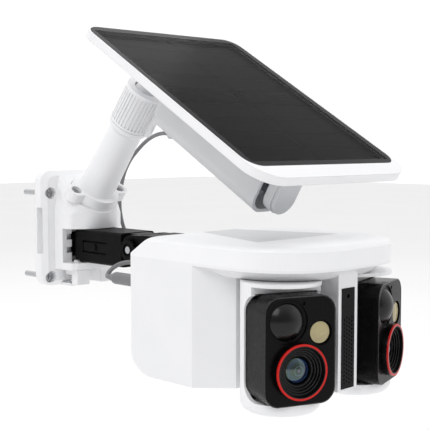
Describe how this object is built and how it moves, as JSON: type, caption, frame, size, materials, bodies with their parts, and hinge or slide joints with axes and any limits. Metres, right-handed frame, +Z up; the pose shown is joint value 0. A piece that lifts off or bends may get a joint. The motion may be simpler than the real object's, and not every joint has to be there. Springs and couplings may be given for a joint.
{
  "type": "solar powered security camera",
  "caption": "Wall-mounted solar security camera: slide-in bracket, leaning pole with a ball joint and a tilted solar panel, white body with two panning camera modules.",
  "frame": {"origin": "centre of the four wall screws, in the plane of the wall face", "axes": "+X to the right seen from the front, +Y into the wall, +Z up"},
  "size_m": [0.1422, 0.3036, 0.2343],
  "materials": {
    "white_plastic": "satin moulded plastic",
    "cover_plastic": "satin moulded plastic",
    "grey_plastic": "fine texture",
    "dark_plastic": "fine texture",
    "steel_screw": "zinc plated",
    "spring_steel": "drawn wire",
    "ball_plastic": "polished acetal",
    "motor_case": "satin",
    "seal_rubber": "matt",
    "friction_nylon": "natural nylon",
    "friction_rubber": "matt",
    "solar_cell": "smooth silicon",
    "panel_glass": "gloss",
    "battery_sleeve": "shrink sleeve",
    "circuit_board": "solder mask",
    "socket_plastic": "fine texture",
    "cord_jacket": "satin",
    "black_gloss": "gloss",
    "red_ring": "gloss",
    "lens_glass": "coated",
    "dome_plastic": "smoked gloss",
    "lamp_plastic": "diffuser"
  },
  "bodies": {
    "bracket": {"bracket": "white_plastic", "wall_screws": "steel_screw", "button_spring": "spring_steel", "solar_pole": "white_plastic", "pole_screws": "steel_screw", "socket_gasket": "seal_rubber", "adapter": "dark_plastic", "solar_cord": "cord_jacket"},
    "release_button": {"release_button": "white_plastic"},
    "lock_ring": {"lock_ring": "white_plastic"},
    "swivel": {"friction_cup": "friction_nylon"},
    "lean": {"friction_pad": "friction_rubber"},
    "tracker": {"ball_stud": "ball_plastic", "tracker_beam": "grey_plastic", "tracker_lid": "grey_plastic", "tracker_motor": "motor_case", "beam_screws": "steel_screw"},
    "panel": {"panel_frame": "white_plastic", "panel_back": "grey_plastic", "solar_cells": "solar_cell", "panel_glass": "panel_glass", "front_lug": "grey_plastic", "rear_lug": "grey_plastic", "lug_cap": "grey_plastic", "lug_screws": "steel_screw", "roll_shaft": "steel_screw"},
    "camera": {"camera_neck": "dark_plastic", "neck_screws": "steel_screw", "hinge_bolt": "steel_screw", "hinge_nut": "dark_plastic", "main_shell": "cover_plastic", "top_cover": "cover_plastic", "cover_gasket": "seal_rubber", "cover_screws": "steel_screw", "battery_pack": "battery_sleeve", "main_board": "circuit_board", "power_socket": "socket_plastic", "speaker": "socket_plastic", "speaker_grille": "black_gloss", "cord_plug": "cord_jacket", "left_pan_motor": "motor_case", "right_pan_motor": "motor_case"},
    "left_module": {"left_drum": "cover_plastic", "left_housing": "black_gloss", "left_face": "black_gloss", "left_lens_barrel": "black_gloss", "left_lens_ring": "red_ring", "left_lens": "lens_glass", "left_image_sensor": "circuit_board", "left_motion_dome": "dome_plastic", "left_lamp": "lamp_plastic"},
    "right_module": {"right_drum": "cover_plastic", "right_housing": "black_gloss", "right_face": "black_gloss", "right_lens_barrel": "black_gloss", "right_lens_ring": "red_ring", "right_lens": "lens_glass", "right_image_sensor": "circuit_board", "right_motion_dome": "dome_plastic", "right_lamp": "lamp_plastic"}
  },
  "joints": [
    {"name": "release_press", "type": "slide", "parent": "bracket", "child": "release_button", "axis": [0, 0, -1], "range_m": [0, 0.003], "stiffness_N_per_m": 400, "springref_m": -0.002, "deforming": ["button_spring"]},
    {"name": "lock_ring_turn", "type": "hinge", "parent": "bracket", "child": "lock_ring", "pos_m": [0, -0.0266, 0.0301], "axis": [0, -0.6293, 0.7771], "range_deg": [0, 180]},
    {"name": "ball_swivel", "type": "hinge", "parent": "bracket", "child": "swivel", "pos_m": [0, -0.08645, 0.10401], "axis": [0, -0.6293, 0.7771], "range_deg": [-90, 90]},
    {"name": "ball_lean", "type": "hinge", "parent": "swivel", "child": "lean", "pos_m": [0, -0.08645, 0.10401], "axis": [0, 0.7771, 0.6293], "range_deg": [-10, 10]},
    {"name": "ball_tilt", "type": "hinge", "parent": "lean", "child": "tracker", "pos_m": [0, -0.08645, 0.10401], "axis": [-1, 0, 0], "range_deg": [-4, 20], "deforming": ["solar_cord"]},
    {"name": "panel_roll", "type": "hinge", "parent": "tracker", "child": "panel", "pos_m": [0, -0.1627, 0.06805], "axis": [0, -0.8594, -0.5113], "range_deg": [-25, 25]},
    {"name": "camera_tilt", "type": "hinge", "parent": "bracket", "child": "camera", "pos_m": [0, -0.09, -0.006], "axis": [-1, 0, 0], "range_deg": [-25, 4]},
    {"name": "left_pan", "type": "hinge", "parent": "camera", "child": "left_module", "pos_m": [-0.0352, -0.249, -0.0478], "axis": [0, 0, 1], "range_deg": [-25, 28]},
    {"name": "right_pan", "type": "hinge", "parent": "camera", "child": "right_module", "pos_m": [0.0352, -0.249, -0.0478], "axis": [0, 0, 1], "range_deg": [-24, 25]}
  ]
}
